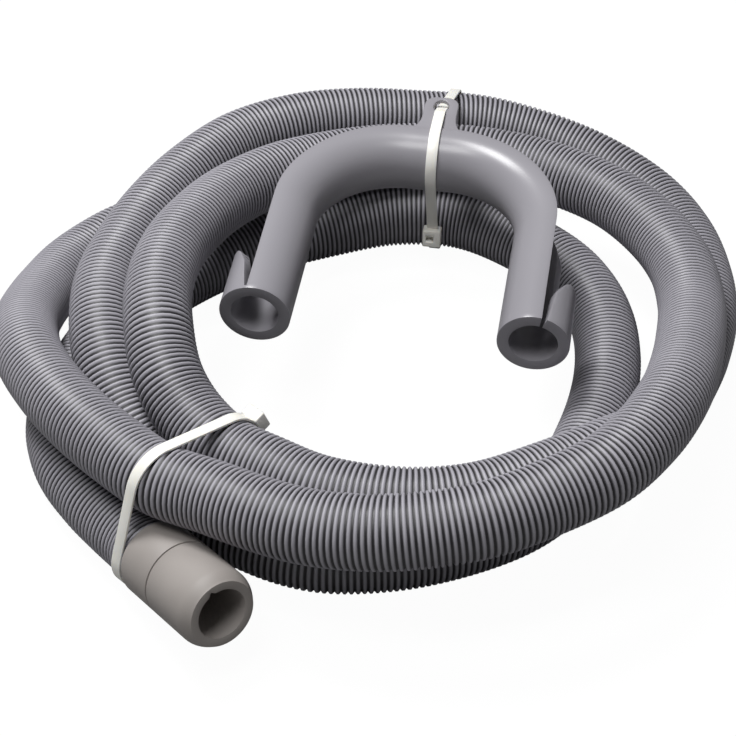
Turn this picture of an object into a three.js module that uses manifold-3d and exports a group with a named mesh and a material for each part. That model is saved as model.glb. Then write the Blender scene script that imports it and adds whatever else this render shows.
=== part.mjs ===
// Washing machine drain hose, coiled and tied, with a cuff at each end and a clip-on U-bend guide.
// Units are millimetres, +Z is up, the coil rests on the floor at z = 0.
import * as THREE from 'three';
import Module from 'manifold-3d';

const wasm = await Module();
wasm.setup();

// Driving sizes
const HOSE_OD = 27;
const HOSE_SIDES = 12;
const HOSE_STEPS = 80;
const WALL = 4.25;
const REST_GAP = 0.4;

// Cuffs
const CUFF_BORE = 19;
const CUFF_LENGTH = 45.6;
const CUFF_LIP = 1;
const CUFF_SOCKET = 6;
const CUFF_GROOVE_AT = 18;
const CUFF_GROOVE = 0.8;
const CUFF_MOUTH_OD = 25.6;
const CUFF_TAPER = 6;

// Guide
const GUIDE_OD = HOSE_OD + 1.5;
const GUIDE_SPAN = 110;
const GUIDE_REACH = 105;
const GUIDE_CORNER = 47;
const GUIDE_TURN = -9.4;
const GUIDE_CROWN = [26.7, 94, 57.5];
const GUIDE_TILT = 5;
const GUIDE_OPEN = 79;
const RING_LENGTH = 10;
const SLIT = 2;
const SLIT_START = { left: 1.5, right: -1 };
const SOLE_LENGTH = 20;
const SLIT_ANGLE = 73;
const FINGER = { length: 18, root: 64, end: 43, round: 5 };
const TAB = { at: 2, width: 14.5, out: 23, corner: 5, thick: 2, lift: 11.2, sink: 1.2 };
const TAB_FLARE = { out: 4.5, up: 11 };
const TAB_HOLE = { wide: 6.5, long: 9, at: 16.5 };

// Ties
const TIE = { width: 4.6, thick: 1, gap: 0.9, head: [8, 8.5, 5], window: [3.2, 2.4], sink: 0.7 };
const TIE_REACH = HOSE_OD * 2.2;
const BUNDLE = { at: [-66.4, -84.5, 0], angle: -45, head: 22, gap: 1.1 };
const GUIDE_HEAD_UP = 7;

// Middle of the finished foot, in the coordinates the route below is written in
const ORIGIN = [2.4, 10.4, 0];

// Centreline of the hose from the hidden end, over the coil, to the end in front
const ROUTE = [
  [-88, 111, 15], [-100, 101.5, 15], [-112, 92, 15], [-127, 72, 16.5], [-134.5, 49, 21],
  [-137.5, 29, 27], [-137.5, 8, 34], [-132, -17, 41], [-121, -39, 43.5], [-107, -59, 45],
  [-92, -76, 46], [-75, -92, 47], [-57, -102, 48.5], [-36, -114, 50.5], [-18, -121.5, 52],
  [8, -126, 54.5], [40, -123, 57.5], [63, -114, 59.5], [84, -101.5, 61], [100, -83, 60.5],
  [112, -61, 58], [119, -41, 54], [125, -16, 49], [129, 10, 44.5], [128, 38, 42.5],
  [119, 64, 42], [104, 86, 42], [83, 103, 41.5], [58, 115, 41], [30, 120, 41],
  [4, 118, 41.5], [-20, 110, 43], [-40, 97, 46], [-59, 76, 49.5], [-71.5, 51, 54],
  [-79, 28, 57], [-82, 4, 58], [-80.5, -18, 56.5], [-76, -38, 50], [-67, -54, 44],
  [-52, -71, 41], [-36, -82, 41], [-17, -93, 41.5], [12.5, -99.5, 42], [39, -96.5, 41.5],
  [66, -84.5, 41], [88, -71, 39.5], [104, -54, 31.5], [115.5, -33, 24.5], [125, -10, 17.5],
  [135, 15, 14.3], [141.5, 40, 14], [143, 66, 14], [138.5, 95, 15], [126, 119, 18],
  [104, 138, 23], [78, 150, 28], [52, 154.5, 33], [24, 152.5, 37], [-4, 149, 40.5],
  [-30, 142, 42.5], [-57, 127, 43], [-78, 102, 42.5], [-92, 76, 42], [-100.5, 53, 41.5],
  [-106, 28, 41.5], [-105.5, 4, 40.5], [-101, -18.5, 36], [-92, -38.5, 28], [-80, -54.5, 20],
  [-66, -71, 16.8], [-46, -87.5, 15.2], [-20, -98, 13.8], [8, -98, 13.8], [36, -90, 13.8],
  [59, -77.5, 13.8], [75, -60.5, 13.8], [85.5, -38, 13.8], [94, -12, 13.8], [98.5, 16, 13.8],
  [97, 43, 13.8], [87.5, 69, 13.8], [69, 90, 14], [42, 105, 15.5], [12, 107.5, 15.5],
  [-18, 101.5, 14], [-46, 90.5, 13.8], [-72, 73, 13.8], [-93, 52, 13.8], [-109, 27, 13.8],
  [-118, 0, 13.8], [-121.5, -26, 14], [-115, -52, 15.4], [-103.5, -71, 16], [-92.5, -85, 16.6],
  [-83.5, -96, 17.8], [-78.5, -103, 19.5], [-73.7, -109.5, 21.2],
];

// Colours and finishes
const LOOKS = {
  hose: { color: 0x85848b, roughness: 0.5, metalness: 0 },
  cuff: { color: 0x8c8783, roughness: 0.65, metalness: 0 },
  guide: { color: 0x98979c, roughness: 0.4, metalness: 0 },
  tie: { color: 0xe9e7dc, roughness: 0.45, metalness: 0 },
};

const rad = THREE.MathUtils.degToRad;

// A place given in the route's coordinates, moved to the part's own origin
const place = (p) => new THREE.Vector3(p[0] - ORIGIN[0], p[1] - ORIGIN[1], p[2] - ORIGIN[2]);

// Solid body of a geometry for adding and cutting
function solid(geometry) {
  const g = geometry.clone();
  g.deleteAttribute('normal');
  g.deleteAttribute('uv');
  const m = mergeByPlace(g);
  return new wasm.Manifold(new wasm.Mesh({ numProp: 3, vertProperties: m.points, triVerts: m.faces }));
}

// Joins vertices that share one place
function mergeByPlace(g) {
  const src = g.attributes.position;
  const index = g.index ? Array.from(g.index.array) : [...Array(src.count).keys()];
  const seen = new Map();
  const points = [];
  const remap = [];
  for (let i = 0; i < src.count; i += 1) {
    const p = [src.getX(i), src.getY(i), src.getZ(i)];
    const key = p.map((v) => Math.round(v * 1e4)).join(' ');
    if (!seen.has(key)) {
      seen.set(key, points.length / 3);
      points.push(...p);
    }
    remap.push(seen.get(key));
  }
  const faces = [];
  for (let i = 0; i < index.length; i += 3) {
    const t = [remap[index[i]], remap[index[i + 1]], remap[index[i + 2]]];
    if (t[0] !== t[1] && t[1] !== t[2] && t[2] !== t[0]) faces.push(...t);
  }
  return { points: new Float32Array(points), faces: new Uint32Array(faces) };
}

// Geometry of a finished body
function geometryOf(body) {
  const m = body.getMesh();
  const g = new THREE.BufferGeometry();
  const n = m.numProp;
  const count = m.vertProperties.length / n;
  const pts = new Float32Array(count * 3);
  for (let i = 0; i < count; i += 1) {
    for (let k = 0; k < 3; k += 1) pts[i * 3 + k] = m.vertProperties[i * n + k];
  }
  g.setAttribute('position', new THREE.BufferAttribute(pts, 3));
  g.setIndex(new THREE.BufferAttribute(new Uint32Array(m.triVerts), 1));
  return g;
}

// Named piece with its colour
function piece(name, slot, geometry) {
  const flat = geometry.index ? geometry.toNonIndexed() : geometry;
  flat.computeVertexNormals();
  const mesh = new THREE.Mesh(flat, new THREE.MeshStandardMaterial(LOOKS[slot]));
  mesh.name = name;
  return mesh;
}

// Regular polygon with its corners on the given radius
function ring(radius, sides) {
  const pts = [];
  for (let i = 0; i < sides; i += 1) {
    const a = ((i + 0.5) / sides) * Math.PI * 2;
    pts.push(new THREE.Vector2(radius * Math.cos(a), radius * Math.sin(a)));
  }
  return new THREE.Shape(pts);
}

// Hose
const route = new THREE.CatmullRomCurve3(ROUTE.map(place), false, 'centripetal');
route.arcLengthDivisions = 4000;
const chords = route.getSpacedPoints(HOSE_STEPS);

function hose() {
  const shape = ring(HOSE_OD / 2, HOSE_SIDES);
  return new THREE.ExtrudeGeometry(shape, { steps: HOSE_STEPS, extrudePath: route });
}

// Cuff along +Z from its back edge at the hose to its mouth
function cuffSolid() {
  const socket = HOSE_OD / 2 + REST_GAP;
  const outer = socket + CUFF_LIP;
  const g = CUFF_GROOVE / 2;
  const profile = [
    [CUFF_BORE / 2, CUFF_SOCKET],
    [CUFF_BORE / 2, CUFF_LENGTH],
    [CUFF_MOUTH_OD / 2 - 0.8, CUFF_LENGTH],
    [CUFF_MOUTH_OD / 2, CUFF_LENGTH - 0.8],
    [outer - 0.4, CUFF_LENGTH - CUFF_TAPER * 0.6],
    [outer, CUFF_LENGTH - CUFF_TAPER],
    [outer, CUFF_GROOVE_AT + g],
    [outer - CUFF_GROOVE, CUFF_GROOVE_AT + g],
    [outer - CUFF_GROOVE, CUFF_GROOVE_AT - g],
    [outer, CUFF_GROOVE_AT - g],
    [outer, 0.3],
    [outer - 0.3, 0],
    [socket, 0],
    [socket, CUFF_SOCKET],
    [CUFF_BORE / 2, CUFF_SOCKET],
  ].reverse().map(([x, y]) => new THREE.Vector2(x, y));
  const turned = new THREE.LatheGeometry(profile, 36);
  turned.rotateX(Math.PI / 2);
  return turned;
}

// Cuff on the hose end that points from one route place to the next
function cuff(from, to) {
  const tip = place(to);
  const way = tip.clone().sub(place(from)).normalize();
  const back = tip.clone().addScaledVector(way, REST_GAP - CUFF_SOCKET);
  const turn = new THREE.Quaternion().setFromUnitVectors(new THREE.Vector3(0, 0, 1), way);
  const body = cuffSolid();
  body.applyQuaternion(turn);
  body.translate(back.x, back.y, back.z);
  return geometryOf(solid(body));
}

// Guide, built flat with its crown along X at y = 0 and its legs reaching to -y
const GUIDE_R = GUIDE_OD / 2;
const GUIDE_BORE = GUIDE_R - WALL;
const LIP_AT = GUIDE_R * Math.cos(rad(GUIDE_OPEN)) - TAB.sink;

// Places along the guide's middle line, from the left ring over the crown to the right ring
function guidePath() {
  const half = GUIDE_SPAN / 2;
  const flat = half - GUIDE_CORNER;
  const left = [new THREE.Vector3(-half, -GUIDE_REACH + RING_LENGTH - 0.5, 0)];
  for (let i = 0; i <= 7; i += 1) {
    const a = Math.PI - (i / 7) * (Math.PI / 2);
    const x = -flat + GUIDE_CORNER * Math.cos(a);
    left.push(new THREE.Vector3(x, -GUIDE_CORNER + GUIDE_CORNER * Math.sin(a), 0));
  }
  const right = left.slice().reverse().map((p) => new THREE.Vector3(-p.x, p.y, 0));
  return left.concat(right);
}

// Body swept through flat rings of points, one ring per place on the guide's path
function sweepFlat(path, section) {
  return path.map((p, i) => {
    const a = path[Math.max(0, i - 1)];
    const b = path[Math.min(path.length - 1, i + 1)];
    const before = p.clone().sub(a).normalize();
    const after = b.clone().sub(p).normalize();
    const t = before.clone().add(after).normalize();
    const inner = before.lengthSq() && after.lengthSq();
    const stretch = inner ? 1 / t.dot(before) : 1;
    const out = new THREE.Vector3(-t.y, t.x, 0);
    return section.map(([o, z]) => p.clone().addScaledVector(out, o * stretch).setZ(z));
  });
}

// Closed geometry from rows of points with both ends filled
function skin(rows, section) {
  const n = section.length;
  const pts = rows.flat();
  const faces = [];
  for (let r = 0; r + 1 < rows.length; r += 1) {
    for (let i = 0; i < n; i += 1) {
      const j = (i + 1) % n;
      faces.push(r * n + i, r * n + j, (r + 1) * n + j, r * n + i, (r + 1) * n + j, (r + 1) * n + i);
    }
  }
  const flat = section.map(([x, y]) => new THREE.Vector2(x, y));
  const caps = THREE.ShapeUtils.triangulateShape(flat, []);
  const last = (rows.length - 1) * n;
  for (const [a, b, c] of caps) faces.push(c, b, a, last + a, last + b, last + c);
  const g = new THREE.BufferGeometry();
  g.setAttribute('position', new THREE.Float32BufferAttribute(pts.flatMap((p) => [p.x, p.y, p.z]), 3));
  g.setIndex(faces);
  return g;
}

// Arc-shaped wall section, as [outward, up] pairs, from one angle to another
function arcWall(from, to, steps) {
  const pts = [];
  for (let i = 0; i <= steps; i += 1) {
    const a = rad(from + ((to - from) * i) / steps);
    pts.push([GUIDE_R * Math.cos(a), GUIDE_R * Math.sin(a)]);
  }
  for (let i = steps; i >= 0; i -= 1) {
    const a = rad(from + ((to - from) * i) / steps);
    pts.push([GUIDE_BORE * Math.cos(a), GUIDE_BORE * Math.sin(a)]);
  }
  return pts;
}

// One leg's closed end: ring, slit, and the finger left between the two V cuts
function guideEnd(side) {
  const x = (side * GUIDE_SPAN) / 2;
  const full = new THREE.CylinderGeometry(GUIDE_R, GUIDE_R, RING_LENGTH, 36);
  const bore = new THREE.CylinderGeometry(GUIDE_BORE, GUIDE_BORE, RING_LENGTH + 2, 36);
  const mid = -GUIDE_REACH + RING_LENGTH / 2;
  const body = solid(full.translate(x, mid, 0)).subtract(solid(bore.translate(x, mid, 0)));
  const shape = new THREE.Shape();
  const root = GUIDE_R * Math.sin(rad(FINGER.root));
  const end = GUIDE_R * Math.sin(rad(FINGER.end));
  shape.moveTo(-root, -0.5);
  shape.lineTo(root, -0.5);
  shape.lineTo(end, FINGER.length - FINGER.round);
  shape.quadraticCurveTo(end - 0.5, FINGER.length, end - FINGER.round, FINGER.length);
  shape.lineTo(FINGER.round - end, FINGER.length);
  shape.quadraticCurveTo(0.5 - end, FINGER.length, -end, FINGER.length - FINGER.round);
  shape.lineTo(-root, -0.5);
  const block = new THREE.ExtrudeGeometry(shape, { depth: GUIDE_R + 1, bevelEnabled: false });
  block.rotateY((side * Math.PI) / 2);
  const wall = new THREE.CylinderGeometry(GUIDE_R, GUIDE_R, FINGER.length + 2, 36);
  const inside = new THREE.CylinderGeometry(GUIDE_BORE, GUIDE_BORE, FINGER.length + 4, 36);
  const at = -GUIDE_REACH + RING_LENGTH;
  wall.translate(x, at + FINGER.length / 2, 0);
  inside.translate(x, at + FINGER.length / 2, 0);
  block.translate(x, at, 0);
  const finger = solid(block).intersect(solid(wall).subtract(solid(inside)));
  const from = side > 0 ? SLIT_START.right : SLIT_START.left;
  const slit = new THREE.BoxGeometry(WALL * 2, RING_LENGTH + 1 - from, SLIT);
  slit.translate(GUIDE_R - WALL / 2, 0, 0);
  slit.rotateY(side > 0 ? -rad(SLIT_ANGLE) : -Math.PI + rad(SLIT_ANGLE));
  slit.translate(x, -GUIDE_REACH + (RING_LENGTH + 1 + from) / 2, 0);
  const low = new THREE.BoxGeometry(GUIDE_OD, SOLE_LENGTH - 1, GUIDE_R);
  low.translate(x, -GUIDE_REACH + (SOLE_LENGTH + 1) / 2, -GUIDE_R * (0.5 + Math.sin(rad(FINGER.end))));
  const sole = solid(low).intersect(solid(wall).subtract(solid(inside)));
  return body.add(finger).subtract(solid(slit)).add(sole);
}

// Flat tab on the crown's outer edge with the hole the tie goes through
function guideTab() {
  const s = new THREE.Shape();
  const w = TAB.width / 2;
  const c = TAB.corner;
  s.moveTo(-w - TAB_FLARE.out, 0);
  s.quadraticCurveTo(-w, TAB_FLARE.up / 4, -w, TAB_FLARE.up);
  s.lineTo(-w, TAB.out - c);
  s.quadraticCurveTo(-w, TAB.out, -w + c, TAB.out);
  s.lineTo(w - c, TAB.out);
  s.quadraticCurveTo(w, TAB.out, w, TAB.out - c);
  s.lineTo(w, TAB_FLARE.up);
  s.quadraticCurveTo(w, TAB_FLARE.up / 4, w + TAB_FLARE.out, 0);
  const hole = new THREE.Path();
  hole.absellipse(0, TAB_HOLE.at, TAB_HOLE.wide / 2, TAB_HOLE.long / 2, 0, Math.PI * 2, false, 0);
  s.holes.push(hole);
  const plate = new THREE.ExtrudeGeometry(s, { depth: TAB.thick, bevelEnabled: false, curveSegments: 8 });
  plate.translate(TAB.at, LIP_AT, TAB.lift);
  return solid(plate);
}

// Turn and place of the guide on top of the coil
function guidePose() {
  const m = new THREE.Matrix4().makeRotationZ(rad(GUIDE_TURN));
  m.multiply(new THREE.Matrix4().makeRotationX(rad(GUIDE_TILT)));
  const c = place(GUIDE_CROWN);
  return new THREE.Matrix4().makeTranslation(c.x, c.y, c.z).multiply(m);
}

function guide() {
  const section = arcWall(GUIDE_OPEN, 360 - GUIDE_OPEN, 20);
  const channel = solid(skin(sweepFlat(guidePath(), section), section));
  const g = geometryOf(channel.add(guideEnd(-1)).add(guideEnd(1)).add(guideTab()));
  g.applyMatrix4(guidePose());
  return g;
}

// Places where the hose crosses an upright plane, as [along the plane, up]
function crossings(o, angle, reach) {
  const n = new THREE.Vector3(Math.cos(rad(angle)), Math.sin(rad(angle)), 0);
  const u = new THREE.Vector3(-n.y, n.x, 0);
  const found = [];
  for (let i = 0; i < HOSE_STEPS; i += 1) {
    const a = chords[i].clone().sub(o);
    const b = chords[i + 1].clone().sub(o);
    const da = a.dot(n);
    const db = b.dot(n);
    if (da * db < 0) {
      const p = a.lerp(b, da / (da - db));
      if (Math.abs(p.dot(u)) < reach) found.push([p.dot(u), p.z + o.z, HOSE_OD / 2]);
    }
  }
  return found;
}

// Outline round a set of circles given as [across, up, radius]
function outlineRound(circles, extra) {
  const pts = [];
  for (const [x, y, r] of circles) {
    for (let i = 0; i < 24; i += 1) {
      const a = (i / 24) * Math.PI * 2;
      pts.push([x + (r + extra) * Math.cos(a), y + (r + extra) * Math.sin(a)]);
    }
  }
  pts.sort((a, b) => a[0] - b[0] || a[1] - b[1]);
  const cross = (o, a, b) => (a[0] - o[0]) * (b[1] - o[1]) - (a[1] - o[1]) * (b[0] - o[0]);
  const half = (list) => {
    const out = [];
    for (const p of list) {
      while (out.length > 1 && cross(out[out.length - 2], out[out.length - 1], p) <= 0) out.pop();
      out.push(p);
    }
    out.pop();
    return out;
  };
  return half(pts).concat(half(pts.slice().reverse())).map(([x, y]) => new THREE.Vector2(x, y));
}

// Head seated on the strap where it passes one circle, slid along the strap by some way
function seat(circle, gap, angle, slide) {
  const out = circle[2] + gap + TIE.thick + TIE.head[2] / 2 - TIE.sink;
  const [c, s] = [Math.cos(rad(angle)), Math.sin(rad(angle))];
  return { across: circle[0] + out * c - slide * s, up: circle[1] + out * s + slide * c, turn: angle };
}

// Direction in which a strap faces where it runs straight from one circle up to another
function facing(low, high) {
  const along = [high[0] - low[0], high[1] - low[1]];
  const lean = Math.asin((high[2] - low[2]) / Math.hypot(...along));
  return THREE.MathUtils.radToDeg(Math.atan2(along[1], along[0]) + Math.PI / 2 - lean);
}

// Tie round the circles in an upright plane, with its head at one place on the loop
function tie(at, angle, circles, gap, head) {
  const band = new THREE.Shape(outlineRound(circles, gap + TIE.thick));
  band.holes.push(new THREE.Path(outlineRound(circles, gap)));
  const strap = new THREE.ExtrudeGeometry(band, { depth: TIE.width, bevelEnabled: false });
  strap.translate(0, 0, -TIE.width / 2);
  const box = new THREE.BoxGeometry(TIE.head[2], TIE.head[1], TIE.head[0]);
  const window = new THREE.BoxGeometry(TIE.head[2] * 3, TIE.window[1], TIE.window[0]);
  for (const g of [box, window]) {
    g.rotateZ(rad(head.turn));
    g.translate(head.across, head.up, 0);
  }
  const body = solid(strap).add(solid(box).subtract(solid(window)));
  const g = geometryOf(body);
  g.rotateX(Math.PI / 2);
  g.rotateZ(rad(angle + 90));
  g.translate(at.x, at.y, 0);
  return g;
}

// Whole part
const part = new THREE.Group();
part.name = 'washing_machine_drain_hose';
part.add(piece('corrugated_hose', 'hose', geometryOf(solid(hose()))));
part.add(piece('inlet_cuff', 'cuff', cuff(ROUTE[1], ROUTE[0])));
part.add(piece('outlet_cuff', 'cuff', cuff(ROUTE[ROUTE.length - 2], ROUTE[ROUTE.length - 1])));
part.add(piece('hose_guide', 'guide', guide()));

const bundleAt = place(BUNDLE.at);
const strands = crossings(bundleAt, BUNDLE.angle, TIE_REACH);
const rightmost = strands.reduce((a, b) => (b[0] > a[0] ? b : a));
const bundleHead = seat(rightmost, BUNDLE.gap, BUNDLE.head, 0);
const bundleTie = tie(bundleAt, BUNDLE.angle, strands, BUNDLE.gap, bundleHead);
part.add(piece('bundle_cable_tie', 'tie', bundleTie));

const inGuide = (y, z) => new THREE.Vector3(TAB.at, y, z).applyMatrix4(guidePose());
const hole = inGuide(LIP_AT + TAB_HOLE.at, TAB.lift);
const edge = inGuide(LIP_AT + TAB_HOLE.at - (TAB_HOLE.long + TAB.sink) / 2, TAB.lift + TAB.thick / 2);
const crown = inGuide(0, 0);
const acrossTo = (p) => Math.sign(p.y - hole.y) * Math.hypot(p.x - hole.x, p.y - hole.y);
const backs = crossings(hole.clone().setZ(0), GUIDE_TURN, TIE_REACH);
const lowest = backs.reduce((a, b) => (b[1] < a[1] ? b : a));
const over = [[acrossTo(crown), crown.z, GUIDE_R], [acrossTo(edge), edge.z, TAB.thick / 2]];
const guideHead = seat(lowest, TIE.gap, facing(lowest, over[0]), -GUIDE_HEAD_UP);
const guideTie = tie(hole, GUIDE_TURN, [...backs, ...over], TIE.gap, guideHead);
part.add(piece('guide_cable_tie', 'tie', guideTie));

export default part;
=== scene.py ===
"""Looks of a coiled washing machine drain hose.

A grey corrugated hose lies in a coil of three turns, with a soft cuff on each end. A moulded U-bend
guide rests on the coil, tied to it by one cable tie, and a second tie holds the strands together in front.
Sizes are written in millimetres and turned to metres when a mesh is finished.
"""

import logging
import math
from dataclasses import dataclass, field
from enum import Enum

import bmesh
import bpy
import numpy as np
from mathutils import Matrix, Vector
from mathutils.geometry import convex_hull_2d


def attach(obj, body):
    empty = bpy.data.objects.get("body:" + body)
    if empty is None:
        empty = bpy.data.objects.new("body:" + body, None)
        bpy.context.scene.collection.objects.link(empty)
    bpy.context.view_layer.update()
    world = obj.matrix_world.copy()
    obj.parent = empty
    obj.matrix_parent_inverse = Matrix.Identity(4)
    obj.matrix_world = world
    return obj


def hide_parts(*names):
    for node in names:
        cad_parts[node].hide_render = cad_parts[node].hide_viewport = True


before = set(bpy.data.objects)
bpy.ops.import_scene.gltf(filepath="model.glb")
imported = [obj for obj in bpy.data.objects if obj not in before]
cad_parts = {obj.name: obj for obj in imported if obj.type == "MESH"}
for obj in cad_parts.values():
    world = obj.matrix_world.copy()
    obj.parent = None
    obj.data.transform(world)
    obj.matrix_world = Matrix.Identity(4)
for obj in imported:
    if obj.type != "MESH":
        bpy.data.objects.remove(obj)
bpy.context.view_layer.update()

LOG = logging.getLogger("drain_hose")
MM = 0.001
BODY = "root"

# Outer diameter of the hose over its ribs, which the cuffs, the guide and both ties fit
HOSE_OD = 27.0
# How far from its foot a tie looks for strands to go round
TIE_REACH = 60.0
# Points closer than this are one, on a spun outline and on the guide's wall
SPUN_MERGE = 0.001
WALL_MERGE = 0.01

# Middle of the foot, in the coordinates the route is written in
ORIGIN = (2.4, 10.4, 0.0)

# Centreline of the hose from the hidden end, over the coil, to the end in front
ROUTE = (
    (-88, 111, 15), (-100, 101.5, 15), (-112, 92, 15), (-127, 72, 16.5), (-134.5, 49, 21),
    (-137.5, 29, 27), (-137.5, 8, 34), (-132, -17, 41), (-121, -39, 43.5), (-107, -59, 45),
    (-92, -76, 46), (-75, -92, 47), (-57, -102, 48.5), (-36, -114, 50.5), (-18, -121.5, 52),
    (8, -126, 54.5), (40, -123, 57.5), (63, -114, 59.5), (84, -101.5, 61), (100, -83, 60.5),
    (112, -61, 58), (119, -41, 54), (125, -16, 49), (129, 10, 44.5), (128, 38, 42.5),
    (119, 64, 42), (104, 86, 42), (83, 103, 41.5), (58, 115, 41), (30, 120, 41),
    (4, 118, 41.5), (-20, 110, 43), (-40, 97, 46), (-59, 76, 49.5), (-71.5, 51, 54),
    (-79, 28, 57), (-82, 4, 58), (-80.5, -18, 56.5), (-76, -38, 50), (-67, -54, 44),
    (-52, -71, 41), (-36, -82, 41), (-17, -93, 41.5), (12.5, -99.5, 42), (39, -96.5, 41.5),
    (66, -84.5, 41), (88, -71, 39.5), (104, -54, 31.5), (115.5, -33, 24.5), (125, -10, 17.5),
    (135, 15, 14.3), (141.5, 40, 14), (143, 66, 14), (138.5, 95, 15), (126, 119, 18),
    (104, 138, 23), (78, 150, 28), (52, 154.5, 33), (24, 152.5, 37), (-4, 149, 40.5),
    (-30, 142, 42.5), (-57, 127, 43), (-78, 102, 42.5), (-92, 76, 42), (-100.5, 53, 41.5),
    (-106, 28, 41.5), (-105.5, 4, 40.5), (-101, -18.5, 36), (-92, -38.5, 28), (-80, -54.5, 20),
    (-66, -71, 16.8), (-46, -87.5, 15.2), (-20, -98, 13.8), (8, -98, 13.8), (36, -90, 13.8),
    (59, -77.5, 13.8), (75, -60.5, 13.8), (85.5, -38, 13.8), (94, -12, 13.8), (98.5, 16, 13.8),
    (97, 43, 13.8), (87.5, 69, 13.8), (69, 90, 14.2), (42, 105.3, 16.3), (12, 107.9, 16.4),
    (-18, 101.5, 14.6), (-46, 90.5, 13.8), (-72, 73, 13.8), (-93, 52, 13.8), (-109, 27, 13.8),
    (-118, 0, 13.8), (-121.5, -26, 14), (-115, -52, 15.4), (-103.5, -71, 16), (-92.5, -85, 16.6),
    (-83.5, -96, 17.8), (-78.5, -103, 19.5), (-73.7, -109.5, 21.2),
)


class Slot(Enum):
    """The record's material slots."""

    HOSE = "hose"
    CUFF = "cuff"
    GUIDE = "guide"
    TIE = "tie"


def place(point: tuple[float, float, float]) -> Vector:
    """Moves a point from the route's coordinates to the part's own origin, in millimetres."""
    return Vector(point) - Vector(ORIGIN)


def linear(hex_colour: str) -> tuple[float, float, float, float]:
    """Turns an sRGB hex colour to a linear colour with full alpha."""
    parts = [int(hex_colour[i:i + 2], 16) / 255 for i in (1, 3, 5)]
    toned = [c / 12.92 if c <= 0.04045 else ((c + 0.055) / 1.055) ** 2.4 for c in parts]
    return (*toned, 1.0)


def add_node(tree: bpy.types.NodeTree, kind: str, settings: dict | None = None,
             inputs: dict | None = None) -> bpy.types.Node:
    """Adds one node to a tree.

    Args:
        tree: the node tree.
        kind: the node's type.
        settings: the node's own properties by name.
        inputs: by socket name or number, a value to set or another node's output to link.

    Returns:
        The new node.
    """
    node = tree.nodes.new(kind)
    for key, value in (settings or {}).items():
        setattr(node, key, value)
    for key, value in (inputs or {}).items():
        if isinstance(value, bpy.types.NodeSocket):
            tree.links.new(value, node.inputs[key])
        else:
            node.inputs[key].default_value = value
    return node


# Ends of a noise's values that are spread over the whole change of gloss, and of tone
GLOSS_SPAN = (0.3, 0.7)
TONE_SPAN = (0.32, 0.68)
# Size of the clouds of gloss, as a share of the clouds of tone
GLOSS_CLOUD = 0.6


@dataclass(frozen=True)
class PlasticFinish:
    """A plain plastic with a faint grain, whose tone drifts in soft clouds between two colours."""

    name: str
    slot: Slot
    colour: str
    cloud: str
    roughness: float
    ior: float
    grain_mm: float
    grain_depth_mm: float
    cloud_mm: float = 22.0
    gloss_change: float = 0.05

    def material(self) -> bpy.types.Material:
        """Builds the node material."""
        made = bpy.data.materials.new(self.name)
        made.use_nodes = True
        tree = made.node_tree
        tree.nodes.clear()
        coords = add_node(tree, "ShaderNodeTexCoord").outputs["Object"]
        grain = add_node(tree, "ShaderNodeTexNoise", None,
                         {"Vector": coords, "Scale": 1 / (self.grain_mm * MM), "Detail": 3.0})
        bump = add_node(tree, "ShaderNodeBump", None,
                        {"Height": grain.outputs[0], "Distance": self.grain_depth_mm * MM, "Strength": 1.0})
        gloss = add_node(tree, "ShaderNodeMapRange", None, {
            "Value": self.clouds(tree, coords, self.cloud_mm * GLOSS_CLOUD),
            "From Min": GLOSS_SPAN[0], "From Max": GLOSS_SPAN[1],
            "To Min": self.roughness - self.gloss_change, "To Max": self.roughness + self.gloss_change})
        shader = add_node(tree, "ShaderNodeBsdfPrincipled", None, {
            "Base Color": self.tint(tree, coords), "Roughness": gloss.outputs[0],
            "Normal": bump.outputs[0], "IOR": self.ior})
        self.dress(shader)
        add_node(tree, "ShaderNodeOutputMaterial", None, {"Surface": shader.outputs[0]})
        return made

    def clouds(self, tree: bpy.types.NodeTree, coords: bpy.types.NodeSocket,
               size_mm: float) -> bpy.types.NodeSocket:
        """Gives a soft noise of a real size, from 0 to 1."""
        noise = add_node(tree, "ShaderNodeTexNoise", None,
                         {"Vector": coords, "Scale": 1 / (size_mm * MM), "Detail": 2.0})
        return noise.outputs[0]

    def tint(self, tree: bpy.types.NodeTree, coords: bpy.types.NodeSocket) -> bpy.types.NodeSocket:
        """Gives the base colour, which drifts between the two tones."""
        part = add_node(tree, "ShaderNodeMapRange", None, {
            "Value": self.clouds(tree, coords, self.cloud_mm),
            "From Min": TONE_SPAN[0], "From Max": TONE_SPAN[1]})
        mix = add_node(tree, "ShaderNodeMix", {"data_type": "RGBA"},
                       {0: part.outputs[0], 6: linear(self.colour), 7: linear(self.cloud)})
        return mix.outputs[2]

    def dress(self, shader: bpy.types.Node) -> None:
        """Sets what only some plastics have, which is nothing here."""


@dataclass(frozen=True)
class RibbedFinish(PlasticFinish):
    """Blow-moulded plastic with painted shade in its grooves, read from the mesh's own attribute.

    The colour is fully the groove's from full_at, a share of a groove's depth, downwards.
    """

    # Colour of the painted shade at the bottom of the grooves
    groove: str = "#29282b"
    full_at: float = 0.6

    def tint(self, tree: bpy.types.NodeTree, coords: bpy.types.NodeSocket) -> bpy.types.NodeSocket:
        """Gives the base colour, darkened by painted shade towards the bottom of each groove."""
        plain = super().tint(tree, coords)
        depth = add_node(tree, "ShaderNodeAttribute", {"attribute_name": "groove_depth"})
        shade = add_node(tree, "ShaderNodeMapRange", None,
                         {"Value": depth.outputs["Fac"], "From Min": 0.0, "From Max": self.full_at})
        mix = add_node(tree, "ShaderNodeMix", {"data_type": "RGBA"},
                       {0: shade.outputs[0], 6: plain, 7: linear(self.groove)})
        return mix.outputs[2]


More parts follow.
